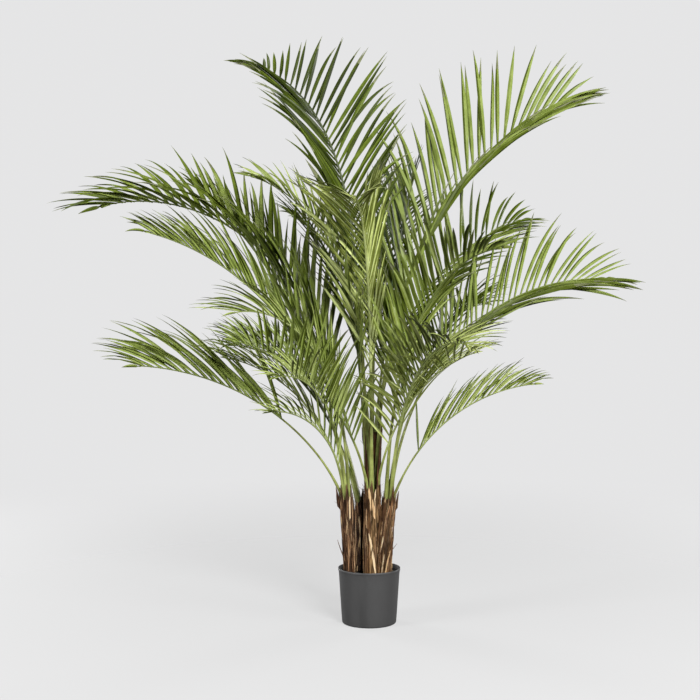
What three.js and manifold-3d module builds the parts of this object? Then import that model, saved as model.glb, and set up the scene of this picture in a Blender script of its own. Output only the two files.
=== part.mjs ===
// Artificial areca palm in a plain nursery pot, made of a pot, its cement fill, five husk-clad trunks
// and the fronds that stand on them. Sizes are in millimetres, +Z is up, and the origin is the centre
// of the pot's flat underside. A bearing of 0 points along +X and one of 90 along +Y.
import * as THREE from "three";
import { mergeVertices } from "three/addons/utils/BufferGeometryUtils.js";
import Module from "manifold-3d";

const wasm = await Module();
wasm.setup();

const gap = 0.3; // clearance between pieces that rest on each other

const pot = {
  height: 167,
  baseRadius: 82,
  rimRadius: 94,
  wall: 2.6,
  floor: 4,
  footRound: 3,
  lipHeight: 8,
  lipDepth: 1.4,
  sides: 40,
};

const fill = { top: 150 };

// Each trunk stands on the fill. Its radii are evenly spaced from foot to top.
const trunks = {
  left: { foot: [-59, -10], top: [-70, -10], height: 235, radii: [16, 15, 15, 16, 17] },
  rear: { foot: [-31, 28], top: [-30, 30], height: 210, radii: [15, 15, 14, 14, 15] },
  front: { foot: [6, -14], top: [9, -12], height: 253, radii: [22, 22, 23, 22, 23] },
  right: { foot: [45, 6], top: [57, 2], height: 229, radii: [20, 20, 20, 21, 21] },
  tall: { foot: [10, 38], top: [10, 38], height: 425, radii: [16, 15, 15, 16, 20, 28] },
};
const trunkSides = 14;
const spineSteps = 24;

// What every frond has where its own row doesn't say otherwise. Angles are in degrees: lean is the
// stalk's tilt at its foot, arch what the bend adds by the tip, and bow how late the bend comes.
// Bare is the share of the stalk below the leaflets, and reach lengthens or shortens them. Spread is
// the angle of the leaflets to the rib, and skew what one side has more and the other less. Lift is
// their angle above the blade's flat side, and roll turns the blade. From closingFrom on, the spread
// changes to the tipSpread of each side, and the length to their tipLength share. Sweep bends the
// leaflets along the rib and droop bends them down.
const usualFrond = {
  bow: 1.3,
  bare: 0.45,
  reach: 1,
  spread: 40,
  skew: 0,
  lift: 40,
  roll: 0,
  tipSpread: [20, 20],
  tipLength: [0.45, 0.45],
  closingFrom: 0.75,
  sweep: 0.1,
  droop: 0.25,
};

const fronds = [
  { name: "frond_long_left", trunk: "left", seat: [9, 6], bearing: 178, lean: 3, arch: 98,
    bow: 1.65, length: 1300, bare: 0.3, reach: 1.02, skew: -8, lift: 32, roll: -15,
    tipLength: [0.65, 0.65] },
  { name: "frond_under_left", trunk: "left", seat: [0, 1], bearing: 195, lean: 7, arch: 68,
    length: 1030, bare: 0.34, reach: 0.92, spread: 26, lift: 50 },
  { name: "frond_low_left", trunk: "left", seat: [-12, 1], bearing: 184, lean: 22, arch: 64,
    bow: 0.85, length: 750, bare: 0.4, reach: 1.32, spread: 26, lift: 56 },
  { name: "frond_mid_left", trunk: "left", seat: [9, -5], bearing: 207, lean: 4, arch: 92,
    bow: 2.15, length: 735, bare: 0.36, reach: 1.05, spread: 22, lift: 34,
    tipLength: [0.6, 0.6] },
  { name: "frond_near_left", trunk: "left", seat: [1, -11], bearing: 236, lean: 8, arch: 88,
    bow: 1.55, length: 560, bare: 0.38, reach: 0.85, spread: 44, skew: 8, lift: 44,
    tipLength: [0.5, 0.5] },
  { name: "frond_back_left", trunk: "left", seat: [-4, 11], bearing: 184, lean: 9, arch: 66,
    bow: 1.2, length: 560, bare: 0.42, reach: 1.1, spread: 32, skew: -15, lift: 20,
    tipLength: [0.6, 0.6] },
  { name: "frond_small_left", trunk: "left", seat: [-8, -9], bearing: 222, lean: 3, arch: 88,
    bow: 1.06, length: 425, bare: 0.22, reach: 0.98, spread: 36, lift: 28,
    tipLength: [0.32, 0.32] },
  { name: "frond_steep_left", trunk: "rear", seat: [3, 7], bearing: 158, lean: 13, arch: 36,
    bow: 1.2, length: 1120, bare: 0.26, spread: 28 },
  { name: "frond_rear_left", trunk: "rear", seat: [-6, -3], bearing: 136, lean: 16, arch: 74,
    bow: 1.1, length: 800, bare: 0.28, spread: 38 },
  { name: "frond_top_left", trunk: "front", seat: [-8, 12], bearing: 172, lean: 3, arch: 68,
    bow: 4.5, length: 1385, bare: 0.47, reach: 0.96, spread: 38, skew: -9, lift: 12, roll: -62,
    tipSpread: [8, 64], tipLength: [0.34, 0.12], closingFrom: 0.45, sweep: 0.16 },
  { name: "frond_high_left", trunk: "front", seat: [-16, 0], bearing: 200, lean: 3, arch: 70,
    bow: 3, length: 1040, bare: 0.34, reach: 0.8, lift: 22, roll: -25 },
  { name: "frond_centre", trunk: "front", seat: [-2, -16], bearing: 262, lean: 3, arch: 85,
    bow: 3, length: 1000, bare: 0.36, reach: 1.12, spread: 28, skew: -10, lift: 15,
    tipSpread: [44, 36] },
  { name: "frond_top_right", trunk: "front", seat: [12, 8], bearing: 352, lean: 2, arch: 65,
    bow: 1.75, length: 1345, bare: 0.43, reach: 1.22, spread: 36, skew: 18, lift: 10, roll: 58,
    tipSpread: [14, 10], tipLength: [0.4, 0.4], closingFrom: 0.66, sweep: 0, droop: 0.1 },
  { name: "frond_front_right", trunk: "right", seat: [9, -12], bearing: 290, lean: 9, arch: 92,
    length: 800, bare: 0.28, lift: 25 },
  { name: "frond_front_left", trunk: "front", seat: [-13, -13], bearing: 212, lean: 10, arch: 66,
    bow: 0.95, length: 660, bare: 0.24, reach: 0.95, spread: 46, skew: 14, lift: 52,
    tipLength: [0.5, 0.5] },
  { name: "frond_long_right", trunk: "right", seat: [6, 5], bearing: 352, lean: 8, arch: 82,
    bow: 1.35, length: 980, bare: 0.38, reach: 1.22, spread: 42, skew: 14, lift: 8, roll: 40,
    tipSpread: [28, 12], sweep: 0.05, droop: 0.12 },
  { name: "frond_low_right", trunk: "right", seat: [16, -2], bearing: 345, lean: 21, arch: 60,
    bow: 1.1, length: 560, bare: 0.29, reach: 0.82, spread: 25, lift: 55 },
  { name: "frond_near_right", trunk: "front", seat: [14, -9], bearing: 320, lean: 10, arch: 60,
    bow: 1.07, length: 560, bare: 0.26, spread: 52, skew: -20, lift: 25 },
  { name: "frond_back_right", trunk: "right", seat: [4, 15], bearing: 58, lean: 12, arch: 76,
    bow: 1.1, length: 950, bare: 0.3 },
  { name: "frond_side_right", trunk: "right", seat: [-6, -8], bearing: 304, lean: 5, arch: 80,
    bow: 1.7, length: 960, bare: 0.36, lift: 30 },
  { name: "frond_rear_right", trunk: "tall", seat: [16, -4], bearing: 28, lean: 4, arch: 68,
    bow: 1, length: 880, bare: 0.2, spread: 44, skew: 10, lift: 30, roll: 45 },
  { name: "frond_upright", trunk: "tall", seat: [10, 10], bearing: 40, lean: 7, arch: 8, bow: 1,
    length: 800, bare: 0.3, spread: 26 },
  { name: "frond_rear", trunk: "tall", seat: [-1, 16], bearing: 82, lean: 6, arch: 78, bow: 1.4,
    length: 950, bare: 0.28, reach: 1.1, lift: 35 },
  { name: "frond_rear_centre", trunk: "tall", seat: [-13, 6], bearing: 118, lean: 8, arch: 66,
    length: 900, bare: 0.24 },
];

// The rib runs on from the stalk to the tip. Its width grows with the frond.
const rib = { width: 6.5, widthPerLength: 0.003, tipShare: 0.36, stalkStep: 60, clearance: 2.5 };

const leaflet = {
  spacing: 46,
  length: 150,
  lengthPerFrond: 0.13,
  width: 21,
  widest: 0.42,
  rootLength: 14,
  thickness: 0.011,
  sweepFrom: 0.2,
  lastPair: 0.985,
  roomUsed: 0.8,
  leastSpread: 20,
  baseSpread: 0.68,
  openFrom: 0.4,
  baseLength: 0.95,
  fullFrom: 0.25,
  shorterFrom: 0.55,
  triedFrom: 0.12,
};
const unevenness = { spread: 10, lift: 16, length: 0.16 };
const shorterTries = [1, 0.8, 0.6, 0.45];

const colours = { pot: 0x4a4a4b, fill: 0x2a2622, husk: 0x6e5037, leaf: 0x75863c };

const radians = THREE.MathUtils.degToRad;

// A number from 0 to 1 that looks random and is the same on every run.
function wobble(seed, index) {
  const value = Math.sin(seed * 12.9898 + index * 78.233) * 43758.5453;
  return value - Math.floor(value);
}

// A closed surface in the making, from rings of points that go round its outside.
class Skin {
  points = [];
  faces = [];

  ring(points) {
    const first = this.points.length;
    this.points.push(...points);
    return points.map((_, i) => first + i);
  }

  quad(a, b, c, d) {
    this.faces.push(a, b, c, a, c, d);
  }

  band(from, to) {
    from.forEach((point, i) => {
      const next = (i + 1) % from.length;
      this.quad(point, from[next], to[next], to[i]);
    });
  }

  point(from, tip) {
    const [end] = this.ring([tip]);
    from.forEach((point, i) => this.faces.push(point, from[(i + 1) % from.length], end));
  }

  geometry() {
    const geometry = new THREE.BufferGeometry().setFromPoints(this.points);
    return geometry.setIndex(this.faces);
  }
}

function solidFrom(geometry) {
  const surface = geometry.clone();
  surface.deleteAttribute("normal");
  surface.deleteAttribute("uv");
  const merged = mergeVertices(surface, 1e-3);
  return new wasm.Manifold(
    new wasm.Mesh({
      numProp: 3,
      vertProperties: new Float32Array(merged.attributes.position.array),
      triVerts: new Uint32Array(merged.index.array),
    }),
  );
}

function materialOf(colour, roughness) {
  return new THREE.MeshStandardMaterial({ color: colour, roughness, metalness: 0 });
}

// Turns a profile of [radius, height] pairs, from the axis back to the axis, about +Z.
function turned(profile, sides) {
  const points = profile.map(([radius, height]) => new THREE.Vector2(radius, height));
  return new THREE.LatheGeometry(points, sides).rotateX(Math.PI / 2);
}

function innerRadiusAt(height) {
  const share = height / pot.height;
  return THREE.MathUtils.lerp(pot.baseRadius, pot.rimRadius - pot.lipDepth, share) - pot.wall;
}

function makePot() {
  const outer = pot.rimRadius - pot.lipDepth;
  const lipFoot = pot.height - pot.lipHeight;
  const profile = [
    [0, 0],
    [pot.baseRadius - pot.footRound, 0],
    [pot.baseRadius, pot.footRound],
    [THREE.MathUtils.lerp(pot.baseRadius, outer, lipFoot / pot.height), lipFoot],
    [pot.rimRadius, lipFoot + pot.lipDepth],
    [pot.rimRadius, pot.height],
    [innerRadiusAt(pot.height), pot.height],
    [innerRadiusAt(pot.floor), pot.floor],
    [0, pot.floor],
  ];
  const mesh = new THREE.Mesh(turned(profile, pot.sides), materialOf(colours.pot, 0.6));
  mesh.name = "pot";
  return mesh;
}

function makeFill() {
  const foot = pot.floor + gap;
  const profile = [
    [0, foot],
    [innerRadiusAt(foot) - gap, foot],
    [innerRadiusAt(fill.top) - gap, fill.top],
    [0, fill.top],
  ];
  const mesh = new THREE.Mesh(turned(profile, pot.sides), materialOf(colours.fill, 0.95));
  mesh.name = "fill";
  return mesh;
}

function makeTrunk(name, trunk) {
  const rings = trunk.radii.map((radius, i) => [radius, (trunk.height * i) / (trunk.radii.length - 1)]);
  const geometry = turned([[0, 0], ...rings, [0, trunk.height]], trunkSides);
  const leanX = (trunk.top[0] - trunk.foot[0]) / trunk.height;
  const leanY = (trunk.top[1] - trunk.foot[1]) / trunk.height;
  geometry.applyMatrix4(new THREE.Matrix4().set(1, 0, leanX, 0, 0, 1, leanY, 0, 0, 0, 1, 0, 0, 0, 0, 1));
  const mesh = new THREE.Mesh(geometry, materialOf(colours.husk, 0.9));
  mesh.name = "trunk_" + name;
  mesh.position.set(trunk.foot[0], trunk.foot[1], fill.top + gap);
  return mesh;
}

// The directions along the rib, across the blade and out of its upper side, in the frond's own frame,
// where the frond leans towards +X.
function directionsAt(frond, share) {
  const tilt = radians(frond.lean + frond.arch * share ** frond.bow);
  const along = new THREE.Vector3(Math.sin(tilt), 0, Math.cos(tilt));
  const across = new THREE.Vector3(0, 1, 0).applyAxisAngle(along, radians(frond.roll));
  const above = new THREE.Vector3().crossVectors(along, across);
  return { along, across, above };
}

function spineOf(frond) {
  const point = new THREE.Vector3();
  const points = [point.clone()];
  for (let i = 0; i < spineSteps; i++) {
    const { along } = directionsAt(frond, (i + 0.5) / spineSteps);
    point.addScaledVector(along, frond.length / spineSteps);
    points.push(point.clone());
  }
  return points;
}

function pointOn(spine, share) {
  const place = share * (spine.length - 1);
  const i = Math.min(Math.floor(place), spine.length - 2);
  return spine[i].clone().lerp(spine[i + 1], place - i);
}

function offset(centre, across, width, above, height) {
  return centre.clone().addScaledVector(across, width).addScaledVector(above, height);
}

function ribHalfAt(frond, share) {
  const width = rib.width + rib.widthPerLength * frond.length;
  return (width / 2) * THREE.MathUtils.lerp(1, rib.tipShare, share);
}

// The rib's corners at a share of its length: side, top, other side and keel. Its foot is cut level.
function ribCorners(frond, spine, share, spare) {
  const centre = pointOn(spine, share);
  const { across, above } = directionsAt(frond, share);
  if (share === 0) {
    across.set(0, 1, 0);
    above.set(-1, 0, 0);
  }
  const half = ribHalfAt(frond, share) + spare;
  return [
    offset(centre, across, half, above, 0),
    offset(centre, across, 0, above, half),
    offset(centre, across, -half, above, 0),
    offset(centre, across, 0, above, -half),
  ];
}

function rise(value, from, to) {
  return THREE.MathUtils.clamp((value - from) / (to - from), 0, 1);
}

// The leaflets' share of their full length along the blade: shorter at its base and its tip.
function lengthShare(place, tipLength) {
  const base = THREE.MathUtils.lerp(leaflet.baseLength, 1, rise(place, 0, leaflet.fullFrom));
  const tip = THREE.MathUtils.lerp(1, tipLength, rise(place, leaflet.shorterFrom, 1) ** 1.3);
  return base * tip;
}

// Where a leaflet starts on the rib, which way it heads and how long it is.
function leafletAim(frond, seed, place, side, index) {
  const opening = THREE.MathUtils.lerp(leaflet.baseSpread, 1, rise(place, 0, leaflet.openFrom));
  const fullSpread = (frond.spread + side * frond.skew) * opening;
  const closing = rise(place, frond.closingFrom, 1) ** 1.2;
  const column = side > 0 ? 0 : 1;
  const spread = THREE.MathUtils.lerp(fullSpread, frond.tipSpread[column], closing);
  const fullLength = frond.reach * (leaflet.length + leaflet.lengthPerFrond * frond.length);
  const evenLength = fullLength * lengthShare(place, frond.tipLength[column]);
  return {
    side,
    share: THREE.MathUtils.lerp(frond.bare, leaflet.lastPair, place),
    spread: radians(spread + unevenness.spread * (wobble(seed, index) - 0.5)),
    lift: radians(frond.lift + unevenness.lift * (wobble(seed + 50, index) - 0.5)),
    length: evenLength * (1 + unevenness.length * (wobble(seed + 90, index) - 0.5)),
  };
}

// The shares of the rib's length where pairs of leaflets stand.
function pairPlaces(frond) {
  const pairs = Math.round(((leaflet.lastPair - frond.bare) * frond.length) / leaflet.spacing);
  return Array.from({ length: pairs + 1 }, (_, i) => i / pairs);
}

// The four corners of a leaflet where it is widest, and its tip. The spare size is added all round
// where clearance is tried. The blade bends towards its tip.
function leafletShape(frond, spine, aim, shorter, spare) {
  const { along, across, above } = directionsAt(frond, aim.share);
  const heading = along.clone().multiplyScalar(Math.cos(aim.spread));
  heading.addScaledVector(across, Math.sin(aim.spread) * aim.side * Math.cos(aim.lift));
  heading.addScaledVector(above, Math.sin(aim.spread) * Math.sin(aim.lift));
  const forward = along.clone().addScaledVector(heading, -along.dot(heading)).normalize();
  const upward = new THREE.Vector3().crossVectors(forward, heading).multiplyScalar(aim.side);
  const bent = (share) => {
    const direction = heading.clone().addScaledVector(along, frond.sweep * (share - leaflet.sweepFrom));
    direction.z -= frond.droop * share ** 2;
    return direction.normalize();
  };
  const length = aim.length * shorter;
  const root = pointOn(spine, aim.share);
  const middle = root.clone().addScaledVector(bent(leaflet.widest / 2), length * leaflet.widest);
  const outer = length * (1 - leaflet.widest);
  const tip = middle.clone().addScaledVector(bent((1 + leaflet.widest) / 2), outer + spare);
  const room = leaflet.spacing * Math.max(Math.sin(aim.spread), Math.sin(radians(leaflet.leastSpread)));
  const halfWidth = Math.min(leaflet.width, leaflet.roomUsed * room) / 2 + spare;
  const halfDepth = (length * leaflet.thickness) / 2 + spare;
  const corners = [
    offset(middle, forward, -halfWidth, upward, -halfDepth * aim.side),
    offset(middle, forward, -halfWidth, upward, halfDepth * aim.side),
    offset(middle, forward, halfWidth, upward, halfDepth * aim.side),
    offset(middle, forward, halfWidth, upward, -halfDepth * aim.side),
  ];
  return { corners, tip };
}

// Where a leaflet's surface leaves the rib: from its side to its top, over the length of the root.
function rootCorners(frond, spine, aim) {
  const half = leaflet.rootLength / frond.length / 2;
  const before = ribCorners(frond, spine, aim.share - half, 0);
  const after = ribCorners(frond, spine, aim.share + half, 0);
  const [from, to] = aim.side > 0 ? [0, 1] : [1, 2];
  return [before[from], before[to], after[to], after[from]];
}

// The part of a leaflet that stands clear of its own rib, as a closed body a little oversize.
function trialLeaflet(frond, spine, aim, shorter) {
  const shape = leafletShape(frond, spine, aim, shorter, gap);
  const root = rootCorners(frond, spine, aim);
  const skin = new Skin();
  const start = skin.ring(root.map((corner, i) => corner.lerp(shape.corners[i], leaflet.triedFrom)));
  const middle = skin.ring(shape.corners);
  skin.quad(...[...start].reverse());
  skin.band(start, middle);
  skin.point(middle, shape.tip);
  return skin.geometry();
}

function boxesMeet(a, b) {
  return [0, 1, 2].every((axis) => a.min[axis] < b.max[axis] && b.min[axis] < a.max[axis]);
}

function isClear(solid, placed, grower) {
  const box = solid.boundingBox();
  return placed.every((other) => {
    if (!boxesMeet(box, other.box)) return true;
    return solid.intersect(other.ribOf === grower ? grower.rib : other.solid).isEmpty();
  });
}

function place(placed, solid, ribOf = null) {
  placed.push({ solid, box: solid.boundingBox(), ribOf });
}

// A leaflet that would touch anything is tried shorter, and then left out.
function growLeaflet(grower, aim, placed) {
  for (const shorter of shorterTries) {
    const trial = trialLeaflet(grower.frond, grower.spine, aim, shorter);
    const solid = solidFrom(trial.applyMatrix4(grower.mesh.matrix));
    if (isClear(solid, placed, grower)) {
      place(placed, solid);
      return leafletShape(grower.frond, grower.spine, aim, shorter, 0);
    }
  }
  return null;
}

// The frond's surface: the stalk and rib as one tube, from whose upper sides the leaflets grow.
function frondSkin({ frond, seed, spine }, growing, spare = 0) {
  const skin = new Skin();
  const ringAt = (share) => skin.ring(ribCorners(frond, spine, share, spare));
  const rootShare = leaflet.rootLength / frond.length;
  const stalkRings = Math.round((frond.bare * frond.length) / rib.stalkStep);
  let last = ringAt(0);
  skin.quad(...[...last].reverse());
  for (let i = 1; i < stalkRings; i++) {
    const next = ringAt((frond.bare * i) / stalkRings);
    skin.band(last, next);
    last = next;
  }
  pairPlaces(frond).forEach((pairPlace, i) => {
    const aims = [1, -1].map((side, j) => leafletAim(frond, seed, pairPlace, side, 2 * i + j));
    const before = ringAt(aims[0].share - rootShare / 2);
    const after = ringAt(aims[0].share + rootShare / 2);
    skin.band(last, before);
    for (let corner = 0; corner < 4; corner++) {
      const next = (corner + 1) % 4;
      const root = [before[corner], before[next], after[next], after[corner]];
      const shape = corner < 2 ? growing(aims[corner]) : null;
      if (shape) {
        const middle = skin.ring(shape.corners);
        skin.band(root, middle);
        skin.point(middle, shape.tip);
      } else skin.quad(...root);
    }
    last = after;
  });
  const end = ringAt(1);
  skin.band(last, end);
  skin.point(end, pointOn(spine, 1).lerp(pointOn(spine, 0.9), -1));
  return skin.geometry();
}

function startFrond(row, index) {
  const frond = { ...usualFrond, ...row };
  const trunk = trunks[frond.trunk];
  const mesh = new THREE.Mesh(undefined, materialOf(colours.leaf, 0.55));
  mesh.name = frond.name;
  mesh.position.set(
    trunk.top[0] + frond.seat[0],
    trunk.top[1] + frond.seat[1],
    fill.top + gap + trunk.height + gap,
  );
  mesh.rotation.z = radians(frond.bearing);
  mesh.updateMatrix();
  return { frond, seed: index + 1, spine: spineOf(frond), mesh };
}

function bareRib(grower, spare) {
  return solidFrom(frondSkin(grower, () => null, spare).applyMatrix4(grower.mesh.matrix));
}

// Every bare rib is placed first, with room round it, so that leaflets keep clear of the ribs of
// later fronds too.
function makeFronds(trunkMeshes) {
  const growers = fronds.map(startFrond);
  const placed = [];
  for (const mesh of trunkMeshes) {
    mesh.updateMatrix();
    place(placed, solidFrom(mesh.geometry.clone().applyMatrix4(mesh.matrix)));
  }
  for (const grower of growers) {
    grower.rib = bareRib(grower, 0);
    place(placed, bareRib(grower, rib.clearance), grower);
  }
  for (const grower of growers) {
    grower.mesh.geometry = frondSkin(grower, (aim) => growLeaflet(grower, aim, placed));
  }
  return growers.map((grower) => grower.mesh);
}

const trunkMeshes = Object.entries(trunks).map(([name, trunk]) => makeTrunk(name, trunk));
const group = new THREE.Group();
group.add(makePot(), makeFill(), ...trunkMeshes, ...makeFronds(trunkMeshes));

export default group;
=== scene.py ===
import math
import random

import bmesh
import bpy
from mathutils import Matrix, Vector, noise


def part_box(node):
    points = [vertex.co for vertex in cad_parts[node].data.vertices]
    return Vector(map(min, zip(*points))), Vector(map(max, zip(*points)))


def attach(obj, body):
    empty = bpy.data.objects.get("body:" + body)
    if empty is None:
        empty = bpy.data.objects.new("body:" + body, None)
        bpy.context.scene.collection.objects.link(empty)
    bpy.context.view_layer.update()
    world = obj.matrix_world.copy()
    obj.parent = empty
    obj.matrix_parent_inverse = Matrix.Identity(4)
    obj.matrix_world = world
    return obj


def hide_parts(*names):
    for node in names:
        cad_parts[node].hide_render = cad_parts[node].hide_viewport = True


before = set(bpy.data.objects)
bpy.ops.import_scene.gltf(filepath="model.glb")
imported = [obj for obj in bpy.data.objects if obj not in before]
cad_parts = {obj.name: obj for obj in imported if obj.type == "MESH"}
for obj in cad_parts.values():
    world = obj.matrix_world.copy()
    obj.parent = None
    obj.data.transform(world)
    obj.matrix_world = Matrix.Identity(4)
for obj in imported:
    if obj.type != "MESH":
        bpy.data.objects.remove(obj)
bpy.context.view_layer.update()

mm = 0.001
up = Vector((0, 0, 1))


def lerp(a, b, share):
    return a + (b - a) * share


def rise(value, start, end):  # 0 before start, 1 after end, even in between
    return min(1, max(0, (value - start) / (end - start)))


def soft(share):
    return share * share * (3 - 2 * share)


def wobble(seed, index):  # looks random from 0 to 1, the same on every run
    value = math.sin(seed * 12.9898 + index * 78.233) * 43758.5453
    return value - math.floor(value)


def spin(bearing):  # unit vector, 0 along +X and 90 along +Y
    turn = math.radians(bearing)
    return Vector((math.cos(turn), math.sin(turn), 0))


def newObject(name, data):
    thing = bpy.data.objects.new(name, data)
    bpy.context.scene.collection.objects.link(thing)
    return thing


def levelsOf(node):  # (height, centre, radius) of each ring of a turned CAD solid, from its foot up
    points = [v.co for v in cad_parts[node].data.vertices]
    levels = []
    for height in sorted({round(p.z, 5) for p in points}):  # to a hundredth of a millimetre
        ring = [p for p in points if abs(p.z - height) < 1e-5]
        low = Vector((min(p.x for p in ring), min(p.y for p in ring), height))
        high = Vector((max(p.x for p in ring), max(p.y for p in ring), height))
        levels.append((height, (low + high) / 2, (high.x - low.x) / 2))
    return levels


class Pile:  # points and faces of one piece, gathered until its mesh is made
    def __init__(self):
        self.points, self.faces, self.slots = [], [], []

    def ring(self, points):
        first = len(self.points)
        self.points.extend(points)
        return list(range(first, len(self.points)))

    def face(self, corners, slot=0):
        self.faces.append(tuple(corners))
        self.slots.append(slot)

    def band(self, lower, upper, slot=0):
        for i in range(len(lower)):
            j = (i + 1) % len(lower)
            self.face((lower[i], lower[j], upper[j], upper[i]), slot)

    def cone(self, ring, tip, slot=0):
        end = self.ring([tip])[0]
        for i in range(len(ring)):
            self.face((ring[i], ring[(i + 1) % len(ring)], end), slot)

    def skin(self, rings, slots):  # closed at the first ring and open at the last, which it gives back
        last = None
        for points, slot in zip(rings, slots):
            ring = self.ring(points)
            if last is None:
                self.face(reversed(ring), slot)
            else:
                self.band(last, ring, slot)
            last = ring
        return last

    def tube(self, points, radii, sides, slot=0):
        side = (points[1] - points[0]).orthogonal().normalized()
        turns = [2 * math.pi * k / sides for k in range(sides)]
        rings = []
        for i, point in enumerate(points):
            along = (points[min(i + 1, len(points) - 1)] - points[max(i - 1, 0)]).normalized()
            side = (side - along * side.dot(along)).normalized()
            other = along.cross(side)
            rings.append([point + (side * math.cos(t) + other * math.sin(t)) * radii[i] for t in turns])
        self.face(self.skin(rings, [slot] * len(rings)), slot)

    # A thin blade with a crease down its middle, closed all round. Each station is (centre, side
    # direction, upper direction, half width, fold in radians, half thickness). Each step from one
    # station to the next has four slots: both halves of the underside, then both of the top.
    def blade(self, stations, slots):
        last = None
        for i, (centre, side, upper, half, fold, thick) in enumerate(stations):
            out = side * (half * math.cos(fold))
            down = upper * (half * math.sin(fold))
            ring = self.ring([centre - out - down, centre - upper * thick, centre + out - down,
                              centre + upper * thick])
            if last is None:
                self.face(reversed(ring), slots[0][0])
            else:
                for k, slot in enumerate(slots[i - 1]):
                    j = (k + 1) % 4
                    self.face((last[k], last[j], ring[j], ring[k]), slot)
            last = ring
        self.face(last, slots[-1][2])

    def piece(self, node, part, materials, slotName, crease=40):  # crease in degrees
        name = f"{node}_{part}"
        mesh = bpy.data.meshes.new(name)
        mesh.from_pydata(self.points, [], self.faces)
        for material in materials:
            mesh.materials.append(material)
        mesh.polygons.foreach_set("material_index", self.slots)
        mesh.polygons.foreach_set("use_smooth", [True] * len(self.faces))
        mesh.set_sharp_from_angle(angle=math.radians(crease))
        mesh.update()
        piece = newObject(name, mesh)
        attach(piece, "root")
        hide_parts(node)


# Finishes: each is a noise-driven colour ramp with bump and uneven roughness. Stretch is how many
# features there are to a metre along X, Y and Z.

cloudLook = {"roughness": 0.6, "colourSpan": (0.3, 0.7)}  # span: noise at the first and last colour


def tinted(colours, factors, haze=0.0):  # each channel times its own factor, and the haze added to all
    return [tuple(c * k + haze for c, k in zip(colour, factors)) for colour in colours]


def finish(name, colours, stretch, roughness, bump=0.0, bumpStretch=None, detail=4.0, specular=0.4):
    material = bpy.data.materials.new(name)
    material.use_nodes = True
    nodes, links = material.node_tree.nodes, material.node_tree.links
    shader = nodes["Principled BSDF"]
    shader.inputs["Specular IOR Level"].default_value = specular
    place = nodes.new("ShaderNodeTexCoord")

    def pattern(features, fineness):
        mapping = nodes.new("ShaderNodeMapping")
        mapping.inputs["Scale"].default_value = features
        cloud = nodes.new("ShaderNodeTexNoise")
        cloud.inputs["Scale"].default_value = 1.0
        cloud.inputs["Detail"].default_value = fineness
        cloud.inputs["Roughness"].default_value = cloudLook["roughness"]
        links.new(place.outputs["Object"], mapping.inputs["Vector"])
        links.new(mapping.outputs["Vector"], cloud.inputs["Vector"])
        return cloud.outputs["Fac"]

    spread = pattern(stretch, detail)
    ramp = nodes.new("ShaderNodeValToRGB")
    steps = len(colours) - 1
    while len(ramp.color_ramp.elements) < len(colours):
        ramp.color_ramp.elements.new(0.5)
    for i, colour in enumerate(colours):
        ramp.color_ramp.elements[i].position = lerp(*cloudLook["colourSpan"], i / steps)
        ramp.color_ramp.elements[i].color = (*colour, 1)
    links.new(spread, ramp.inputs["Fac"])
    links.new(ramp.outputs["Color"], shader.inputs["Base Color"])
    shine = nodes.new("ShaderNodeMapRange")
    shine.inputs["To Min"].default_value, shine.inputs["To Max"].default_value = roughness
    links.new(spread, shine.inputs["Value"])
    links.new(shine.outputs["Result"], shader.inputs["Roughness"])
    if bump:
        relief = nodes.new("ShaderNodeBump")
        relief.inputs["Strength"].default_value = 1.0
        relief.inputs["Distance"].default_value = bump
        links.new(pattern(bumpStretch or stretch, detail), relief.inputs["Height"])
        links.new(relief.outputs["Normal"], shader.inputs["Normal"])
    return material


# Studio: pale floor that fades into the backdrop, large soft lights

studio = {
    "backdrop": (0.785, 0.785, 0.79),
    "ambient": 0.02,
    "floorRadius": 5.0,
    "floorSides": 96,
    "floorColour": (0.09, 0.09, 0.091),
    "floorRoughness": 0.9,
    "floorSpecular": 0.1,
    "floorGlow": 0.545,
    "fadeFrom": 0.5,
    "fadeTo": 3.4,
    "lights": [  # place, aim, size, watts
        ((1.5, -3.8, 2.7), (0, 0, 0.9), 1.6, 530),
        ((-3.7, -2.0, 1.8), (0, 0, 1.0), 1.5, 240),
        ((3.7, -2.0, 1.8), (0, 0, 1.0), 1.5, 130),
        ((-2.6, 2.6, 1.0), (0, 0, 0.6), 1.2, 120),
        ((2.6, 2.6, 1.0), (0, 0, 0.6), 1.2, 80),
    ],
}


def makeBackdrop():
    world = bpy.data.worlds.new("backdrop")
    bpy.context.scene.world = world
    world.use_nodes = True
    nodes, links = world.node_tree.nodes, world.node_tree.links
    nodes.clear()
    seen, lighting = nodes.new("ShaderNodeBackground"), nodes.new("ShaderNodeBackground")
    seen.inputs["Color"].default_value = (*studio["backdrop"], 1)
    lighting.inputs["Color"].default_value = (1, 1, 1, 1)
    lighting.inputs["Strength"].default_value = studio["ambient"]
    path, mix = nodes.new("ShaderNodeLightPath"), nodes.new("ShaderNodeMixShader")
    output = nodes.new("ShaderNodeOutputWorld")
    links.new(path.outputs["Is Camera Ray"], mix.inputs["Fac"])
    links.new(lighting.outputs["Background"], mix.inputs[1])
    links.new(seen.outputs["Background"], mix.inputs[2])
    links.new(mix.outputs["Shader"], output.inputs["Surface"])


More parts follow.
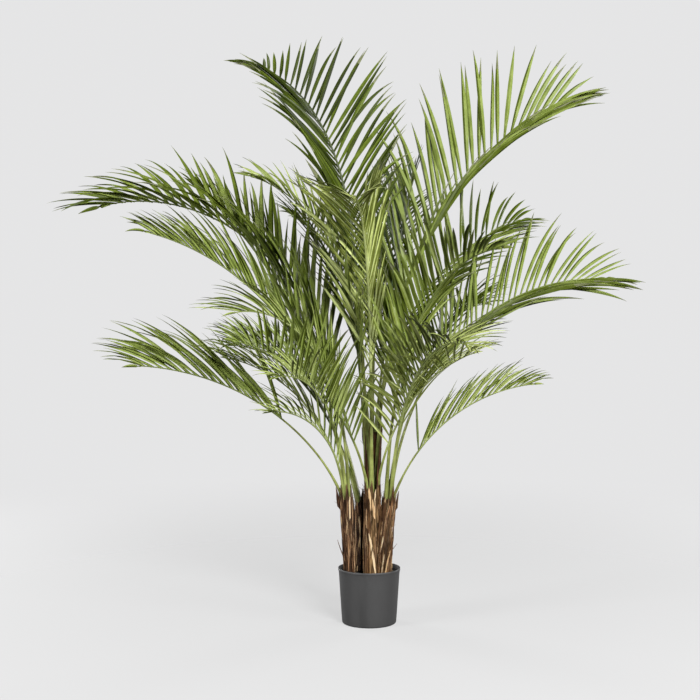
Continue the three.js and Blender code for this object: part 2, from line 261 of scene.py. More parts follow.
def makeFloor():
    material = bpy.data.materials.new("floorPaper")
    material.use_nodes = True
    nodes, links = material.node_tree.nodes, material.node_tree.links
    shader = nodes["Principled BSDF"]
    shader.inputs["Base Color"].default_value = (*studio["floorColour"], 1)
    shader.inputs["Roughness"].default_value = studio["floorRoughness"]
    shader.inputs["Specular IOR Level"].default_value = studio["floorSpecular"]
    shader.inputs["Emission Color"].default_value = (1, 1, 1, 1)
    rays, glow = nodes.new("ShaderNodeLightPath"), nodes.new("ShaderNodeMath")
    glow.operation = "MULTIPLY"
    glow.inputs[1].default_value = studio["floorGlow"]  # seen, but not thrown on the plant
    links.new(rays.outputs["Is Camera Ray"], glow.inputs[0])
    links.new(glow.outputs["Value"], shader.inputs["Emission Strength"])
    place, reach = nodes.new("ShaderNodeTexCoord"), nodes.new("ShaderNodeVectorMath")
    reach.operation = "LENGTH"
    fade = nodes.new("ShaderNodeMapRange")
    fade.interpolation_type = "SMOOTHSTEP"
    fade.inputs["From Min"].default_value = studio["fadeFrom"]
    fade.inputs["From Max"].default_value = studio["fadeTo"]
    clear, mix = nodes.new("ShaderNodeBsdfTransparent"), nodes.new("ShaderNodeMixShader")
    links.new(place.outputs["Object"], reach.inputs[0])
    links.new(reach.outputs["Value"], fade.inputs["Value"])
    links.new(fade.outputs["Result"], mix.inputs["Fac"])
    links.new(shader.outputs["BSDF"], mix.inputs[1])
    links.new(clear.outputs["BSDF"], mix.inputs[2])
    links.new(mix.outputs["Shader"], nodes["Material Output"].inputs["Surface"])
    sheet = bmesh.new()
    bmesh.ops.create_circle(sheet, cap_ends=True, segments=studio["floorSides"], radius=studio["floorRadius"])
    mesh = bpy.data.meshes.new("studioFloor")
    sheet.to_mesh(mesh)
    sheet.free()
    mesh.materials.append(material)
    floor = newObject("studioFloor", mesh)


def makeLights():
    for i, (place, aim, size, watts) in enumerate(studio["lights"]):
        lamp = bpy.data.lights.new(f"softbox{i}", "AREA")
        lamp.size, lamp.energy = size, watts
        holder = newObject(f"softbox{i}", lamp)
        holder.location = place
        holder.rotation_euler = (Vector(aim) - Vector(place)).to_track_quat("-Z", "Y").to_euler()


camera = {"place": (-0.058, -3.70, 0.93), "downDegrees": 1.64, "focalPixels": 1230, "framePixels": 700,
          "sensorWidth": 36}


def makeCamera():
    data = bpy.data.cameras.new("photoCamera")
    data.sensor_width = camera["sensorWidth"]
    data.lens = camera["sensorWidth"] * camera["focalPixels"] / camera["framePixels"]
    holder = newObject("photoCamera", data)
    holder.location = camera["place"]
    holder.rotation_euler = (math.radians(90 - camera["downDegrees"]), 0, 0)
    bpy.context.scene.camera = holder


makeCamera()
makeBackdrop()
makeFloor()
makeLights()
bpy.context.scene.view_settings.view_transform = "Standard"
print("studio ready")


# Pot: a plain moulded shell, its sizes read from the CAD pot

potLook = {
    "sides": 144, "footRound": 5 * mm, "lipRound": 1.1 * mm, "wall": 2.6 * mm, "floor": 4 * mm,
    "lipHeight": 7 * mm, "lipOverhang": 1.3 * mm, "neck": (0.1 * mm, 1 * mm),  # out, down
    "underRing": 0.6, "floorRing": 0.5,  # shares of the foot's radius
    "outsideRings": (0.2, 0.4, 0.6, 0.8, 0.9), "insideRings": (0.1, 0.3, 0.6, 0.9),  # shares of the height
}

potPlastic = finish(
    "potPlastic", [(0.017, 0.0168, 0.0168), (0.023, 0.0228, 0.0228), (0.020, 0.0198, 0.0198)],
    (14, 14, 5), (0.42, 0.56), bump=0.00012, bumpStretch=(900, 900, 900), specular=0.5)

# The pot's inside is the same plastic painted darker: painted shade where the trunks and rim keep the light
# out
potInsideShade = finish(
    "potInsideShade", [(0.007, 0.007, 0.007), (0.010, 0.010, 0.010), (0.008, 0.008, 0.008)],
    (14, 14, 5), (0.6, 0.7), bump=0.00012, bumpStretch=(900, 900, 900), specular=0.2)


def arc(centre, radius, start, end, steps):  # points (radius, height) on a quarter or half round
    turns = [math.radians(lerp(start, end, i / steps)) for i in range(steps + 1)]
    return [(centre[0] + radius * math.cos(t), centre[1] + radius * math.sin(t)) for t in turns]


def revolve(pile, profile, sides, turn):  # from the axis back to the axis, the inside from turn on
    rings = []
    for radius, height in profile[1:-1]:
        rings.append(pile.ring([spin(360 * k / sides) * radius + up * height for k in range(sides)]))
    for i, (lower, upper) in enumerate(zip(rings, rings[1:]), 1):
        pile.band(lower, upper, 1 if i >= turn else 0)
    pile.cone(rings[0][::-1], up * profile[0][1], 0)
    pile.cone(rings[-1], up * profile[-1][1], 1)


def makePot():
    levels = levelsOf("pot")
    height, _, rim = levels[-1]
    base = levels[1][2]
    foot, lip, wall = potLook["footRound"], potLook["lipRound"], potLook["wall"]
    lipFoot = height - potLook["lipHeight"]
    wallTop = rim - potLook["lipOverhang"]
    slope = (wallTop - base) / height
    neckOut, neckHeight = potLook["neck"]
    outside = [(0, 0), (base * potLook["underRing"], 0), (base - foot, 0)]
    outside += arc((base - foot, foot), foot, -80, 0, 6)
    outside += [(base + slope * height * share, height * share) for share in potLook["outsideRings"]]
    outside += [(wallTop, lipFoot - neckHeight), (wallTop + neckOut, lipFoot)]
    outside += arc((rim - lip, lipFoot + lip), lip, -70, 0, 3)
    outside += arc((rim - lip, height - lip), lip, 0, 90, 4)
    inner = rim - wall - lip
    inside = arc((inner + lip, height - lip), lip, 90, 180, 4)
    inside += [(inner - slope * height * share, height * (1 - share)) for share in potLook["insideRings"]]
    floorRadii = (base - wall - foot, base * potLook["floorRing"], 0)
    inside += [(radius, potLook["floor"]) for radius in floorRadii]
    pile = Pile()
    revolve(pile, outside + inside, potLook["sides"], len(outside))
    pile.piece("pot", "shell", [potPlastic, potInsideShade], "pot", crease=60)


# Fill: dark weighted filling with a rough top

fillLook = {"rings": 26, "sides": 96, "lump": 2.4 * mm, "lumpSize": 11 * mm, "grain": 0.8 * mm,
            "grainSize": 3.5 * mm, "grainShift": 7, "below": 1.6 * mm}

fillCement = finish(
    "fillCement", [(0.006, 0.006, 0.006), (0.012, 0.011, 0.010), (0.022, 0.019, 0.016)],
    (90, 90, 90), (0.85, 0.98), bump=0.0006, bumpStretch=(380, 380, 380), specular=0.15)


def makeFill():
    low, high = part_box("fill")
    pile = Pile()
    rings = []
    for i in range(1, fillLook["rings"] + 1):
        radius = high.x * i / fillLook["rings"]
        ring = []
        for k in range(fillLook["sides"]):
            point = spin(360 * k / fillLook["sides"]) * radius
            lump = noise.noise(point / fillLook["lumpSize"]) * fillLook["lump"]
            grain = noise.noise(point / fillLook["grainSize"] + up * fillLook["grainShift"])
            height = high.z - fillLook["below"] + lump + grain * fillLook["grain"]
            ring.append(point + up * min(high.z, height))
        rings.append(pile.ring(ring))
    for inner, outer in zip(rings, rings[1:]):
        pile.band(outer, inner)
    pile.cone(rings[0], up * (high.z - fillLook["below"]))
    footRadius = levelsOf("fill")[0][2]
    ways = [spin(360 * k / fillLook["sides"]) for k in range(fillLook["sides"])]
    foot = pile.ring([way * footRadius + up * low.z for way in ways])
    pile.band(foot, rings[-1])
    pile.face(foot[::-1])
    pile.piece("fill", "surface", [fillCement], "fill")


makePot()
makeFill()
print("pot and fill made")


# Husk trunks: a ridged core, overlapping sheath bases, tan strips and loose fibres

husk = {
    "sides": 96, "step": 4 * mm, "inset": 2.2 * mm, "seedShift": 3.7, "noiseRadius": 20 * mm,
    "ridge": 2.6 * mm, "ridgeSize": (4.2 * mm, 70 * mm), "ridgeGain": 2, "ridgeSink": 0.5,
    "lump": 2.6 * mm, "lumpSize": (15 * mm, 90 * mm),
    "raggedTop": 12 * mm, "raggedFrom": 0.9, "raggedSides": 3, "raggedSink": 0.7,
    "hollow": (0.8, 0.66, 0.66), "hollowDepth": 3 * mm, "hollowLumps": 5 * mm,
}
sheath = {
    "spacing": 13 * mm, "length": (90 * mm, 170 * mm), "halfAngle": (15, 32), "flare": (1 * mm, 5.5 * mm),
    "flarePower": 2.2, "thick": 0.7 * mm, "columns": 16, "rows": 20, "pointed": (30 * mm, 75 * mm),
    "roundness": 1.5, "ragged": 7 * mm, "raggedFineness": 9, "topWidth": 0.72, "bulge": 0.9 * mm,
    "relief": 0.5, "standOff": 1.2 * mm, "lowestFoot": 2 * mm, "lowestTop": 0.2, "aboveTop": 12 * mm,
    "turn": 137.5, "turnAside": 20, "lightTint": (1.35, 1.35, 1.35), "redTint": (0.95, 0.8, 0.72),
}
collar = {
    "below": 60 * mm, "above": (6 * mm, 40 * mm), "halfAngle": (11, 24), "pointed": (22 * mm, 62 * mm),
    "aside": 8, "ribShare": 0.8,
}
strip = {
    "stations": 18, "thick": 0.8 * mm, "fold": 14, "standOff": 2.6 * mm, "tipOut": 3 * mm,
    "bend": 5, "bendTurns": 5, "waver": 0.8 * mm, "waverSize": 12 * mm, "edgeWaver": 0.16,
    "edgeSize": 9 * mm, "footWidth": 0.55, "fullFrom": 0.2, "pointed": (0.8, 1.03), "pointPower": 1.6,
}
fibre = {
    "count": 26, "radius": 0.5 * mm, "length": (12 * mm, 36 * mm), "stations": 7, "sides": 5,
    "sunk": 1 * mm, "outward": (0.2, 0.9), "curl": (-0.5, 0.9), "curlAside": 90, "taper": (1.2, 0.3),
    "top": {"place": (0.93, 1.0), "length": 0.8},  # place is a share of the trunk's height
    "low": {"place": (0.25, 0.9), "length": 0.45},  # every third one
}
thread = {
    "count": 150, "radius": (0.35 * mm, 0.8 * mm), "length": (24 * mm, 90 * mm), "slant": 16,
    "stations": 9, "sides": 4, "standOff": (1.5 * mm, 4.5 * mm), "waver": 4, "waves": 3, "endShare": 0.3,
    "belowTop": 0.8, "slots": (0, 0, 1, 2, 2),
}
# Brown sheaths that rise between the stalks: bearing, how far below and above the trunk's top, half
# angle, flare and pointedness
innerSheaths = {
    "front": [(198, 40, 190, 27, 3, 70), (222, 40, 120, 20, 2, 60), (338, 40, 172, 30, 3, 60),
              (318, 40, 110, 18, 2, 50)],
    "tall": [(262, 70, 34, 30, 2, 50), (205, 70, 26, 30, 3, 40), (330, 70, 30, 30, 3, 40)],
}

# Tan strips that the photo shows: bearing, foot and top above the trunk's foot, width, slant in degrees
shownStrips = {
    "left": [(213, 88, 176, 5, -6), (300, 160, 236, 5, 4), (262, 12, 120, 3, 10)],
    "rear": [(250, 2, 116, 3, 26), (285, 60, 170, 2.5, -10)],
    "front": [(306, 104, 228, 6, -36), (303, 2, 126, 7, -52), (221, 150, 200, 4, 4),
              (252, 190, 262, 8, -4), (284, 170, 258, 4, 8)],
    "right": [(226, 118, 230, 5, 25), (219, 28, 115, 5, 26), (264, 144, 208, 4, 14),
              (279, 2, 72, 5, 28), (250, 2, 60, 4, 10)],
    "tall": [(250, 180, 330, 6, 4), (285, 90, 240, 5, -5)],
}
# The others, on the far side: foot is a share of the trunk's height
otherStrips = {"count": 9, "bearing": (0, 180), "foot": (0.02, 0.65), "length": (70, 165), "width": (5, 10),
               "slant": (-10, 10), "aboveTop": 4 * mm}

# Stiff dark wires and stray strips: bearing, height above the foot, length and radius, how far outwards
shownWires = {
    "left": [(205, 232, 44, 1.0, 0.5), (188, 205, 26, 0.8, 1.6), (190, 46, 66, 2.0, 0.45)],
    "rear": [(235, 208, 36, 0.9, 0.6), (250, 206, 22, 0.7, 0.3)],
    "front": [(196, 246, 34, 0.8, 1.2), (300, 250, 26, 0.7, 0.3)],
    "right": [(322, 226, 40, 1.0, 0.3), (300, 228, 30, 0.8, 0.1), (345, 224, 24, 0.8, 0.6),
              (340, 66, 30, 1.2, 0.9)],
    "tall": [(215, 415, 40, 0.7, 0.8), (330, 420, 34, 0.7, 0.8), (200, 380, 30, 0.6, 1.0)],
}
trunkTints = {  # dark, middle and light colour of the core's streaks
    "left": [(0.008, 0.003, 0.001), (0.024, 0.012, 0.006), (0.104, 0.060, 0.029)],
    "rear": [(0.004, 0.003, 0.001), (0.012, 0.006, 0.004), (0.051, 0.031, 0.016)],
    "front": [(0.008, 0.004, 0.001), (0.033, 0.018, 0.007), (0.142, 0.087, 0.038)],
    "right": [(0.010, 0.005, 0.002), (0.037, 0.020, 0.009), (0.148, 0.090, 0.042)],
    "tall": [(0.007, 0.003, 0.001), (0.024, 0.010, 0.004), (0.088, 0.047, 0.021)],
}


def huskFinish(name, colours, roughness=(0.8, 0.95)):
    return finish(name, colours, (260, 260, 16), roughness, bump=0.0007, bumpStretch=(700, 700, 40),
                  detail=6.0, specular=0.1)


tanHusk = huskFinish("tanHusk", [(0.20, 0.12, 0.055), (0.34, 0.225, 0.115), (0.46, 0.33, 0.19)], (0.6, 0.8))
paleHusk = huskFinish("paleHusk", [(0.25, 0.17, 0.10), (0.40, 0.30, 0.18), (0.52, 0.42, 0.28)], (0.6, 0.8))
brownHusk = huskFinish("brownHusk", [(0.09, 0.045, 0.022), (0.20, 0.11, 0.055), (0.30, 0.18, 0.10)])
fibreBrown = huskFinish("fibreBrown", [(0.03, 0.018, 0.012), (0.07, 0.042, 0.026), (0.12, 0.075, 0.045)])
huskFinishes = {}  # the two sheath finishes of each trunk, which its collars share


class Trunk:
    def __init__(self, name, seed):
        self.seed = seed
        self.levels = levelsOf("trunk_" + name)
        self.foot, self.top = self.levels[0][0], self.levels[-1][0]
        self.random = random.Random(seed)

    def middle(self, height):  # (centre, radius) at a height, carried on straight past the ends
        for lower, upper in zip(self.levels, self.levels[1:]):
            if height <= upper[0] or upper is self.levels[-1]:
                share = (height - lower[0]) / (upper[0] - lower[0])
                held = min(1, max(0, share))
                return lower[1].lerp(upper[1], share), lerp(lower[2], upper[2], held)

    def relief(self, bearing, height):  # how far the ridges stand out
        way = spin(bearing)
        seedPlace = up * self.seed * husk["seedShift"]

        def cloud(sizes):
            around = husk["noiseRadius"] / sizes[0]
            return noise.noise(Vector((way.x * around, way.y * around, height / sizes[1])) + seedPlace)

        ridges = abs(cloud(husk["ridgeSize"])) * husk["ridgeGain"] - husk["ridgeSink"]
        return ridges * husk["ridge"] + cloud(husk["lumpSize"]) * husk["lump"]

    def at(self, bearing, height, out=0.0):
        centre, radius = self.middle(height)
        return centre + spin(bearing) * (radius + out)


def addCore(trunk, pile):
    steps = round((trunk.top - trunk.foot) / husk["step"])
    rings = []
    for i in range(steps + 1):
        height = lerp(trunk.foot, trunk.top, i / steps)
        ragged = rise(i / steps, husk["raggedFrom"], 1) * husk["raggedTop"]
        ring = []
        for k in range(husk["sides"]):
            bearing = 360 * k / husk["sides"]
            lift = ragged * (wobble(trunk.seed, k // husk["raggedSides"]) - husk["raggedSink"])
            out = trunk.relief(bearing, height) - husk["inset"]
            ring.append(trunk.at(bearing, height, out) + up * lift)
        rings.append(ring)
    last = pile.skin(rings, [0] * len(rings))
    centre = trunk.middle(trunk.top)[0]
    for shrink in husk["hollow"]:  # the rough hollow between the stalks
        ring = []
        for index in last:
            point = centre.lerp(pile.points[index], shrink)
            point.z = trunk.top - husk["hollowDepth"] * (1 - noise.noise(point / husk["hollowLumps"]))
            ring.append(point)
        ring = pile.ring(ring)
        pile.band(last, ring)
        last = ring
    pile.cone(last, centre - up * husk["hollowDepth"])


def addSheath(trunk, pile, bearing, foot, top, halfAngle, flare, pointed, slot):
    columns, rows = sheath["columns"], sheath["rows"]
    seed = trunk.random.random() * 100  # gives each sheath its own ragged end and its own ridges
    outer, inner = [], []
    for row in range(rows + 1):
        share = row / rows
        for column in range(columns + 1):
            across = lerp(-1, 1, column / columns)
            ragged = noise.noise(Vector((across * sheath["raggedFineness"], seed, 0))) * sheath["ragged"]
            ownTop = top - abs(across) ** sheath["roundness"] * pointed + ragged
            height = lerp(foot, ownTop, share)
            angle = bearing + across * halfAngle * lerp(1, sheath["topWidth"], share ** 2)
            out = trunk.relief(angle + seed * 9, height) * sheath["relief"] + sheath["standOff"]
            out += flare * share ** sheath["flarePower"] + lerp(sheath["bulge"], 0, across * across)
            outer.append(trunk.at(angle, height, out))
            inner.append(trunk.at(angle, height, out - 2 * sheath["thick"]))
    first = pile.ring(outer)[0]
    back = pile.ring(inner)[0]
    wide = columns + 1
    for row in range(rows):
        for column in range(columns):
            a = row * wide + column
            corners = (a, a + 1, a + wide + 1, a + wide)
            pile.face([first + c for c in corners], slot)
            pile.face([back + c for c in reversed(corners)], slot)
    border = list(range(wide))  # once round the sheath's edge
    border += [r * wide + columns for r in range(1, rows + 1)]
    border += [rows * wide + c for c in range(columns - 1, -1, -1)]
    border += [r * wide for r in range(rows - 1, 0, -1)]
    for i, a in enumerate(border):
        b = border[(i + 1) % len(border)]
        pile.face((first + b, first + a, back + a, back + b), slot)


def addStrip(trunk, pile, bearing, foot, top, width, slant, slot):
    stations = []
    count = strip["stations"]
    bend = trunk.random.uniform(-strip["bend"], strip["bend"])
    for i in range(count + 1):
        share = i / count
        height = lerp(foot, top, share)
        angle = bearing + slant * share + bend * math.sin(share * strip["bendTurns"])
        out = strip["standOff"] + strip["tipOut"] * share ** 3
        out += noise.noise(up * height / strip["waverSize"]) * strip["waver"]
        taper = lerp(strip["footWidth"], 1, rise(share, 0, strip["fullFrom"]))
        taper *= 1 - rise(share, *strip["pointed"]) ** strip["pointPower"]
        edge = noise.noise(up * height / strip["edgeSize"] + spin(bearing))
        half = width / 2 * taper * (1 + strip["edgeWaver"] * edge)
        stations.append((trunk.at(angle, height, out), spin(angle + 90), spin(angle), half,
                         math.radians(strip["fold"]), strip["thick"]))
    pile.blade(stations, [[slot] * 4] * count)


def addFibre(trunk, pile, bearing, height, length, outward, radius):
    way = (spin(bearing) * outward + up).normalized()
    curlBearing = bearing + trunk.random.uniform(-fibre["curlAside"], fibre["curlAside"])
    curl = spin(curlBearing) * trunk.random.uniform(*fibre["curl"])
    points = [trunk.at(bearing, height, -fibre["sunk"])]
    count = fibre["stations"]
    for i in range(count):
        way = (way + curl / count).normalized()
        points.append(points[-1] + way * length / count)
    radii = [radius * lerp(*fibre["taper"], i / count) for i in range(count + 1)]
    pile.tube(points, radii, fibre["sides"])


def addThread(trunk, pile, bearing, foot, length, slot):
    count = thread["stations"]
    slant = trunk.random.uniform(-1, 1) * thread["slant"]
    standOff, radius = trunk.random.uniform(*thread["standOff"]), trunk.random.uniform(*thread["radius"])
    points, radii = [], []
    for i in range(count + 1):
        share = i / count
        waver = noise.noise(Vector((bearing, share * thread["waves"], 0))) * thread["waver"]
        points.append(trunk.at(bearing + slant * share + waver, foot + length * share, standOff))
        radii.append(radius * lerp(thread["endShare"], 1, math.sin(math.pi * share)))
    pile.tube(points, radii, thread["sides"], slot)


def makeTrunk(name, seed):
    trunk = Trunk(name, seed)
    draw = trunk.random
    height = trunk.top - trunk.foot
    node = f"trunk_{name}"
    core = Pile()
    addCore(trunk, core)
    core.piece(node, "core", [huskFinish(f"{name}Husk", trunkTints[name])], "husk", crease=70)

    wraps = Pile()
    count = round(height / sheath["spacing"])
    for i in range(count):
        length = draw.uniform(*sheath["length"])
        top = trunk.foot + lerp(sheath["lowestTop"], 1, (i + 1) / count) * (height + sheath["aboveTop"])
        foot = max(trunk.foot + sheath["lowestFoot"], top - length)
        bearing = i * sheath["turn"] + draw.uniform(-sheath["turnAside"], sheath["turnAside"])
        addSheath(trunk, wraps, bearing, foot, top, draw.uniform(*sheath["halfAngle"]),
                  draw.uniform(*sheath["flare"]), draw.uniform(*sheath["pointed"]), i % 2)
    light, red = (tinted(trunkTints[name], sheath[tint]) for tint in ("lightTint", "redTint"))
    huskFinishes[name] = [huskFinish(f"{name}Sheath", light), huskFinish(f"{name}Rust", red)]
    wraps.piece(node, "sheaths", huskFinishes[name], "husk", crease=55)

    strips = Pile()
    for i, (bearing, foot, top, width, slant) in enumerate(shownStrips[name]):
        addStrip(trunk, strips, bearing, trunk.foot + foot * mm, trunk.foot + top * mm, width * mm,
                 slant, i % 3)
    for i in range(otherStrips["count"]):
        foot = trunk.foot + draw.uniform(*otherStrips["foot"]) * height
        top = min(trunk.top + otherStrips["aboveTop"], foot + draw.uniform(*otherStrips["length"]) * mm)
        addStrip(trunk, strips, draw.uniform(*otherStrips["bearing"]), foot, top,
                 draw.uniform(*otherStrips["width"]) * mm, draw.uniform(*otherStrips["slant"]), i % 3)
    strips.piece(node, "strips", [tanHusk, paleHusk, brownHusk], "husk")

    fibres = Pile()
    for i in range(fibre["count"]):
        kind = fibre["top"] if i % 3 else fibre["low"]
        at = draw.uniform(*kind["place"])
        addFibre(trunk, fibres, draw.uniform(0, 360), trunk.foot + at * height,
                 draw.uniform(*fibre["length"]) * kind["length"], draw.uniform(*fibre["outward"]),
                 fibre["radius"])
    for bearing, at, length, radius, outward in shownWires[name]:
        addFibre(trunk, fibres, bearing, trunk.foot + at * mm, length * mm, outward, radius * mm)
    for i in range(thread["count"]):
        length = draw.uniform(*thread["length"])
        foot = trunk.foot + draw.uniform(0, 1) * (height - length * thread["belowTop"])
        addThread(trunk, fibres, draw.uniform(0, 360), foot, length, draw.choice(thread["slots"]))
    fibres.piece(node, "fibres", [fibreBrown, tanHusk, brownHusk], "husk")
    return trunk


trunks = {name: makeTrunk(name, seed) for seed, name in enumerate(trunkTints, 1)}
print("trunks made")


# Fronds: the rule of the CAD fronds written again, with finer leaflets, in millimetres and degrees. A
# rib leans by lean at its foot and by arch more at its tip, and bends later with a higher bow. Bare is
# its share without leaflets. Reach scales their length, spread is their angle to the rib, skew opens
# one row more than the other, and lift raises both. A lower fine makes them closer and narrower, and
# broad wider. Tints name the colour of most leaflets and of the others.

usualFrond = {
    "bow": 1.3, "reach": 1, "spread": 40, "skew": 0, "lift": 40, "roll": 0, "tipSpread": (20, 20),
    "tipLength": (0.45, 0.45), "closingFrom": 0.75, "sweep": 0.1, "droop": 0.25, "fine": 0.8, "broad": 1,
    "tints": ("deep", "mid"),
}

fronds = {
    "long_left": {
        "trunk": "left", "seat": (9, 6), "bearing": 178, "lean": 3, "arch": 98, "bow": 1.65,
        "length": 1300, "bare": 0.3, "reach": 1.02, "skew": -8, "lift": 32, "roll": -15,
        "tipLength": (0.65, 0.65), "fine": 1, "broad": 1.1, "tints": ("mid", "deep"),
    },
    "under_left": {
        "trunk": "left", "seat": (0, 1), "bearing": 195, "lean": 7, "arch": 68, "length": 1030,
        "bare": 0.34, "reach": 0.92, "spread": 26, "lift": 50, "fine": 0.75, "tints": ("mid", "mid"),
    },
    "low_left": {
        "trunk": "left", "seat": (-12, 1), "bearing": 184, "lean": 22, "arch": 64, "bow": 0.85,
        "length": 750, "bare": 0.4, "reach": 1.32, "spread": 26, "lift": 56, "fine": 1,
        "tints": ("mid", "mid"),
    },
    "mid_left": {
        "trunk": "left", "seat": (9, -5), "bearing": 207, "lean": 4, "arch": 92, "bow": 2.15,
        "length": 735, "bare": 0.36, "reach": 1.05, "spread": 22, "lift": 34, "tipLength": (0.6, 0.6),
        "fine": 0.75, "tints": ("fresh", "mid"),
    },
    "near_left": {
        "trunk": "left", "seat": (1, -11), "bearing": 236, "lean": 8, "arch": 88, "bow": 1.55,
        "length": 560, "bare": 0.38, "reach": 0.85, "spread": 44, "skew": 8, "lift": 44,
        "tipLength": (0.5, 0.5), "fine": 0.65, "broad": 1.1, "tints": ("fresh", "mid"),
    },
    "back_left": {
        "trunk": "left", "seat": (-4, 11), "bearing": 184, "lean": 9, "arch": 66, "bow": 1.2,
        "length": 560, "bare": 0.42, "reach": 1.1, "spread": 32, "skew": -15, "lift": 20,
        "tipLength": (0.6, 0.6), "fine": 0.75, "tints": ("fresh", "mid"),
    },
    "small_left": {
        "trunk": "left", "seat": (-8, -9), "bearing": 222, "lean": 3, "arch": 88, "bow": 1.06,
        "length": 425, "bare": 0.22, "reach": 0.98, "spread": 36, "lift": 28, "tipLength": (0.32, 0.32),
        "fine": 0.75, "tints": ("fresh", "mid"),
    },
    "steep_left": {
        "trunk": "rear", "seat": (3, 7), "bearing": 158, "lean": 13, "arch": 36, "bow": 1.2,
        "length": 1120, "bare": 0.26, "spread": 28,
    },
    "rear_left": {
        "trunk": "rear", "seat": (-6, -3), "bearing": 136, "lean": 16, "arch": 74, "bow": 1.1,
        "length": 800, "bare": 0.28, "spread": 38,
    },
    "top_left": {
        "trunk": "front", "seat": (-8, 12), "bearing": 172, "lean": 3, "arch": 68, "bow": 4.5,
        "length": 1385, "bare": 0.47, "reach": 0.96, "spread": 38, "skew": -9, "lift": 12, "roll": -62,
        "tipSpread": (8, 64), "tipLength": (0.34, 0.12), "closingFrom": 0.45, "sweep": 0.16,
        "fine": 0.72, "broad": 1.08, "tints": ("dark", "deep"),
    },
    "high_left": {
        "trunk": "front", "seat": (-16, 0), "bearing": 200, "lean": 3, "arch": 70, "bow": 3,
        "length": 1040, "bare": 0.34, "reach": 0.8, "lift": 22, "roll": -25, "fine": 0.75,
        "tints": ("mid", "fresh"),
    },
    "centre": {
        "trunk": "front", "seat": (-2, -16), "bearing": 262, "lean": 3, "arch": 85, "bow": 3,
        "length": 1000, "bare": 0.36, "reach": 1.12, "spread": 25, "skew": -14, "lift": 15,
        "tipSpread": (44, 36), "fine": 0.7, "tints": ("olive", "olive"),
    },
    "top_right": {
        "trunk": "front", "seat": (12, 8), "bearing": 352, "lean": 2, "arch": 65, "bow": 1.75,
        "length": 1345, "bare": 0.43, "reach": 1.18, "spread": 32, "skew": 18, "lift": 10, "roll": 58,
        "tipSpread": (20, 10), "tipLength": (0.4, 0.4), "closingFrom": 0.72, "sweep": 0.0, "droop": 0.1,
        "fine": 0.9, "broad": 1.1, "tints": ("mid", "mid"),
    },
    "front_right": {
        "trunk": "right", "seat": (9, -12), "bearing": 290, "lean": 9, "arch": 92, "length": 800,
        "bare": 0.28, "lift": 25, "fine": 0.7, "broad": 1.2, "tints": ("fresh", "olive"),
    },
    "front_left": {
        "trunk": "front", "seat": (-13, -13), "bearing": 212, "lean": 10, "arch": 66, "bow": 0.95,
        "length": 660, "bare": 0.24, "reach": 0.95, "spread": 46, "skew": 14, "lift": 52,
        "tipLength": (0.5, 0.5), "fine": 0.65, "broad": 1.2, "tints": ("mid", "mid"),
    },
    "long_right": {
        "trunk": "right", "seat": (6, 5), "bearing": 352, "lean": 8, "arch": 82, "bow": 1.35,
        "length": 980, "bare": 0.38, "reach": 1.22, "spread": 42, "skew": 14, "lift": 8, "roll": 40,
        "tipSpread": (28, 12), "sweep": 0.05, "droop": 0.12, "fine": 0.68, "broad": 1.35,
        "tints": ("mid", "mid"),
    },
    "low_right": {
        "trunk": "right", "seat": (16, -2), "bearing": 345, "lean": 21, "arch": 60, "bow": 1.1,
        "length": 560, "bare": 0.29, "reach": 0.82, "spread": 25, "lift": 55, "fine": 0.75,
        "tints": ("fresh", "mid"),
    },
    "near_right": {
        "trunk": "front", "seat": (14, -9), "bearing": 320, "lean": 10, "arch": 60, "bow": 1.07,
        "length": 560, "bare": 0.26, "spread": 52, "skew": -20, "lift": 25, "fine": 0.65, "broad": 1.2,
        "tints": ("olive", "fresh"),
    },
    "back_right": {
        "trunk": "right", "seat": (4, 15), "bearing": 58, "lean": 12, "arch": 76, "bow": 1.1,
        "length": 950, "bare": 0.3,
    },
    "side_right": {
        "trunk": "right", "seat": (-6, -8), "bearing": 304, "lean": 5, "arch": 80, "bow": 1.7,
        "length": 960, "bare": 0.36, "lift": 30, "fine": 0.75, "broad": 1.2, "tints": ("mid", "fresh"),
    },
    "rear_right": {
        "trunk": "tall", "seat": (16, -4), "bearing": 28, "lean": 4, "arch": 68, "bow": 1,
        "length": 880, "bare": 0.2, "spread": 44, "skew": 10, "lift": 30, "roll": 45, "broad": 1.2,
    },
    "upright": {
        "trunk": "tall", "seat": (10, 10), "bearing": 40, "lean": 7, "arch": 8, "bow": 1, "length": 800,
        "bare": 0.3, "spread": 26, "tints": ("deep", "blue"),
    },
    "rear": {
        "trunk": "tall", "seat": (-1, 16), "bearing": 82, "lean": 6, "arch": 78, "bow": 1.4,
        "length": 950, "bare": 0.28, "reach": 1.1, "lift": 35,
    },
    "rear_centre": {
        "trunk": "tall", "seat": (-13, 6), "bearing": 118, "lean": 8, "arch": 66, "length": 900,
        "bare": 0.24,
    },
}

# Single leaflets that stand or hang apart from the rows. Share is the place along the rib.
strayLeaflets = {
    "low_left": [{"share": 0.4, "side": 1, "spread": 36, "lift": 84, "length": 275}],
    "low_right": [{"share": 0.29, "side": 1, "spread": 42, "lift": 84, "length": 175}],
    "steep_left": [{"share": 0.135, "side": 1, "spread": 166, "lift": 0, "length": 84}],
}

